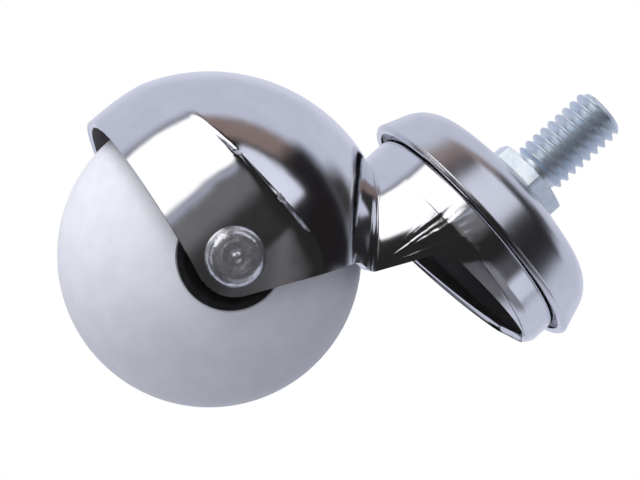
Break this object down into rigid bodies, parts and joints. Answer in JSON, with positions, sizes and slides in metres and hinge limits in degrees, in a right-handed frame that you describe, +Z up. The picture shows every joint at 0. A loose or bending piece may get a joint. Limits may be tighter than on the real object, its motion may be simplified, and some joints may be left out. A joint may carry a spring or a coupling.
{
  "type": "ball castor",
  "caption": "Hooded ball castor: a white ball wheel under a pressed chrome hood, with an offset swivel head and a threaded stem.",
  "frame": {"origin": "centre of the hexagon's top face, where the stem begins", "axes": "+Z up the threaded stem, Y along the wheel's axle, the wheel trails towards -X"},
  "size_m": [0.0661, 0.0466, 0.0762],
  "materials": {
    "white_plastic": "satin moulded, faintly mottled",
    "black_plastic": "moulded",
    "steel": "plain",
    "ball_steel": "polished",
    "rivet_chrome": "plated, spun",
    "chrome": "mirror plated",
    "zinc": "bright zinc plated, bluish"
  },
  "bodies": {
    "stem": {"threaded_stud": "zinc", "cup_cover": "chrome", "lower_race": "steel"},
    "upper_row": {"upper_ball_01": "ball_steel", "upper_ball_02": "ball_steel", "upper_ball_03": "ball_steel", "upper_ball_04": "ball_steel", "upper_ball_05": "ball_steel", "upper_ball_06": "ball_steel", "upper_ball_07": "ball_steel", "upper_ball_08": "ball_steel", "upper_ball_09": "ball_steel", "upper_ball_10": "ball_steel", "upper_ball_11": "ball_steel", "upper_ball_12": "ball_steel"},
    "lower_row": {"lower_ball_01": "ball_steel", "lower_ball_02": "ball_steel", "lower_ball_03": "ball_steel", "lower_ball_04": "ball_steel", "lower_ball_05": "ball_steel", "lower_ball_06": "ball_steel", "lower_ball_07": "ball_steel", "lower_ball_08": "ball_steel", "lower_ball_09": "ball_steel", "lower_ball_10": "ball_steel"},
    "fork": {"horn": "chrome", "axle_rivet": "rivet_chrome", "axle_sleeve": "steel"},
    "wheel": {"wheel_tread": "white_plastic", "hub_core": "black_plastic"}
  },
  "joints": [
    {"name": "swivel", "type": "hinge", "parent": "stem", "child": "fork", "pos_m": [0, 0, -0.012], "axis": [0, 0, 1], "continuous": true},
    {"name": "wheel_spin", "type": "hinge", "parent": "fork", "child": "wheel", "pos_m": [-0.0218, 0, -0.0415], "axis": [0, 1, 0], "continuous": true},
    {"name": "upper_row_roll", "type": "hinge", "parent": "stem", "child": "upper_row", "pos_m": [0, 0, -0.006], "axis": [0, 0, 1], "continuous": true},
    {"name": "lower_row_roll", "type": "hinge", "parent": "stem", "child": "lower_row", "pos_m": [0, 0, -0.01], "axis": [0, 0, 1], "continuous": true}
  ],
  "couplings": [
    {"joint": "upper_row_roll", "follows": "swivel", "ratio": 0.5},
    {"joint": "lower_row_roll", "follows": "swivel", "ratio": 0.5}
  ]
}
